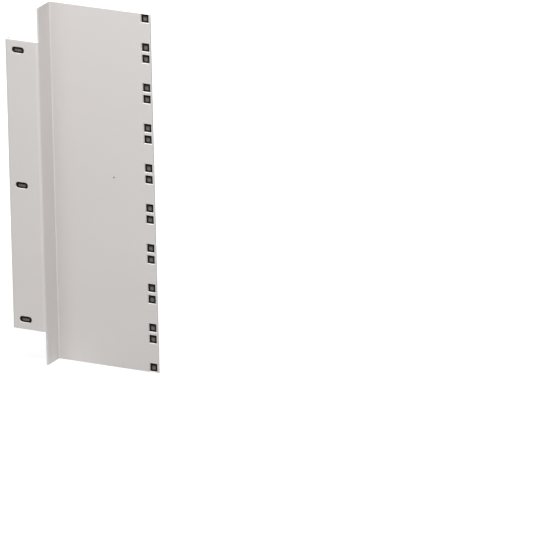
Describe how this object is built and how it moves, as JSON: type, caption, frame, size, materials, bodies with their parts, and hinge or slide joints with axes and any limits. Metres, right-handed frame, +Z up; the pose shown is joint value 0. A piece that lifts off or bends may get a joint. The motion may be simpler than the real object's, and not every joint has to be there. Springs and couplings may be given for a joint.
{
  "type": "rack mounting plate",
  "caption": "Folded steel plate with a column of square rack holes along one edge and a slotted, lipped flange stepped forward on the other, for mounting equipment in a rack.",
  "frame": {"origin": "centre of the middle slot, on the back face of the flange, where the plate is screwed on", "axes": "+X from the flange towards the rack holes, +Y from the flange's front to its back, +Z up along the hole column"},
  "size_m": [0.16, 0.03, 0.398],
  "materials": {
    "paint": "light warm grey powder coat, satin, over steel sheet"
  },
  "bodies": {
    "root": {"mounting_plate": "paint"}
  },
  "joints": []
}
